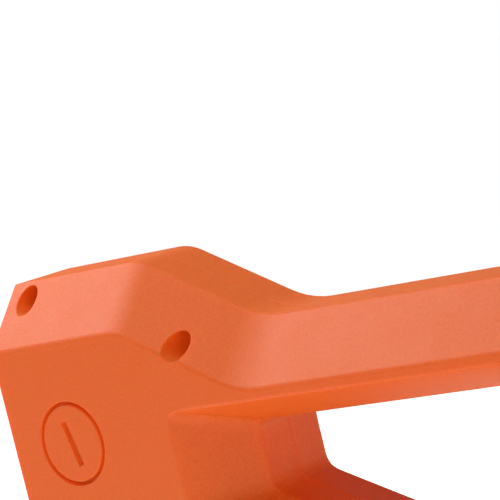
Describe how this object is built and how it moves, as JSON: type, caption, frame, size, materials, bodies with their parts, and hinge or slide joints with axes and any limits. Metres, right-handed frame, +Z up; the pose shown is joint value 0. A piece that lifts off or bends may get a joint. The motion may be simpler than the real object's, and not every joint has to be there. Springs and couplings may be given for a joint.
{
  "type": "handheld belt sander",
  "caption": "Handheld belt sander: orange clamshell housing with a closed D-handle over a cast chassis carrying a sanding belt on two rollers.",
  "frame": {"origin": "centre of the sanding belt's flat sole, midway between the roller axes, on the seam between the housing halves", "axes": "+X forward along the handle, +Z up, +Y to the belt-cover side"},
  "size_m": [0.2876, 0.1117, 0.175],
  "materials": {
    "orange_housing": "spark-textured matt moulding",
    "black_plastic": "satin moulding",
    "black_rubber": "matt",
    "roller_rubber": "ground rubber",
    "cast_aluminium": "fine cast",
    "steel": "turned",
    "copper": "enamelled wire and bare bars",
    "carbon": "pressed graphite",
    "abrasive_cloth": "aluminium oxide grit on cloth",
    "graphite_felt": "graphite-faced felt"
  },
  "bodies": {
    "frame": {"housing_near": "orange_housing", "housing_far": "orange_housing", "housing_screw_1": "steel", "housing_screw_2": "steel", "housing_screw_3": "steel", "housing_screw_4": "steel", "housing_screw_5": "steel", "housing_screw_6": "steel", "cord_gland": "black_rubber", "brush_cap_near": "orange_housing", "brush_cap_far": "orange_housing", "brush_holder_near": "black_plastic", "brush_holder_far": "black_plastic", "carbon_brush_near": "carbon", "carbon_brush_far": "carbon", "brush_spring_near": "steel", "brush_spring_far": "steel", "stator_core": "steel", "field_coil_rear": "copper", "field_coil_front": "copper", "motor_bearing_upper": "steel", "motor_bearing_lower": "steel", "jack_bearing_inner": "steel", "jack_bearing_outer": "steel", "drive_bearing_outer": "steel", "drive_bearing_inner": "steel", "timing_belt": "black_rubber", "sanding_belt": "abrasive_cloth", "chassis": "cast_aluminium", "platen": "steel", "platen_pad": "graphite_felt", "tension_spring": "steel", "lever_pin": "steel", "belt_cover": "black_plastic", "cover_screw": "steel", "dust_hood": "black_plastic", "switch_body": "black_plastic", "speed_module": "black_plastic"},
    "drive_roller_unit": {"drive_shaft": "steel", "drive_roller": "cast_aluminium", "drive_roller_tyre": "roller_rubber", "large_pulley": "steel"},
    "jack_shaft_unit": {"jack_shaft": "steel", "bevel_gear": "steel", "small_pulley": "steel"},
    "armature": {"armature_shaft": "steel", "armature_core": "steel", "winding_upper": "copper", "commutator": "copper", "motor_fan": "black_plastic", "bevel_pinion": "steel"},
    "yoke_unit": {"yoke": "cast_aluminium", "front_axle": "steel"},
    "front_roller_unit": {"front_roller": "cast_aluminium"},
    "tension_lever_unit": {"tension_lever": "black_plastic"},
    "tracking_knob_unit": {"tracking_knob": "black_plastic"},
    "trigger_unit": {"trigger": "black_plastic"},
    "lock_button_unit": {"lock_button": "black_plastic"},
    "speed_dial_unit": {"speed_dial": "black_plastic"}
  },
  "joints": [
    {"name": "drive_spin", "type": "hinge", "parent": "frame", "child": "drive_roller_unit", "pos_m": [-0.104, 0, 0.0195], "axis": [0, 1, 0], "continuous": true},
    {"name": "jack_spin", "type": "hinge", "parent": "frame", "child": "jack_shaft_unit", "pos_m": [-0.0932, 0, 0.064], "axis": [0, 1, 0], "continuous": true},
    {"name": "armature_spin", "type": "hinge", "parent": "frame", "child": "armature", "pos_m": [-0.0932, 0, 0.064], "axis": [0, 0, 1], "continuous": true},
    {"name": "yoke_slide", "type": "slide", "parent": "frame", "child": "yoke_unit", "axis": [1, 0, 0], "range_m": [-0.006, 0], "deforming": ["tension_spring"]},
    {"name": "front_spin", "type": "hinge", "parent": "yoke_unit", "child": "front_roller_unit", "pos_m": [0.104, 0, 0.0195], "axis": [0, 1, 0], "continuous": true},
    {"name": "lever_turn", "type": "hinge", "parent": "frame", "child": "tension_lever_unit", "pos_m": [0.036, 0, 0.0195], "axis": [0, 1, 0], "range_deg": [0, 90]},
    {"name": "tracking_turn", "type": "hinge", "parent": "frame", "child": "tracking_knob_unit", "pos_m": [0.046, 0, 0.0195], "axis": [0, 1, 0], "range_deg": [-180, 180]},
    {"name": "trigger_press", "type": "slide", "parent": "frame", "child": "trigger_unit", "axis": [0, 0, 1], "range_m": [0, 0.005], "stiffness_N_per_m": 600, "springref_m": -0.003},
    {"name": "lock_press", "type": "slide", "parent": "frame", "child": "lock_button_unit", "axis": [0, 1, 0], "range_m": [0, 0.0025], "stiffness_N_per_m": 400, "springref_m": -0.002},
    {"name": "dial_turn", "type": "hinge", "parent": "frame", "child": "speed_dial_unit", "pos_m": [0.07, 0, 0.1504], "axis": [0, 1, 0], "range_deg": [-150, 150]}
  ],
  "couplings": [
    {"joint": "jack_spin", "follows": "drive_spin", "ratio": 2.3636},
    {"joint": "armature_spin", "follows": "drive_spin", "ratio": -5.6727},
    {"joint": "front_spin", "follows": "drive_spin", "ratio": 1},
    {"joint": "yoke_slide", "follows": "lever_turn", "m_per_rad": -0.0038197}
  ]
}
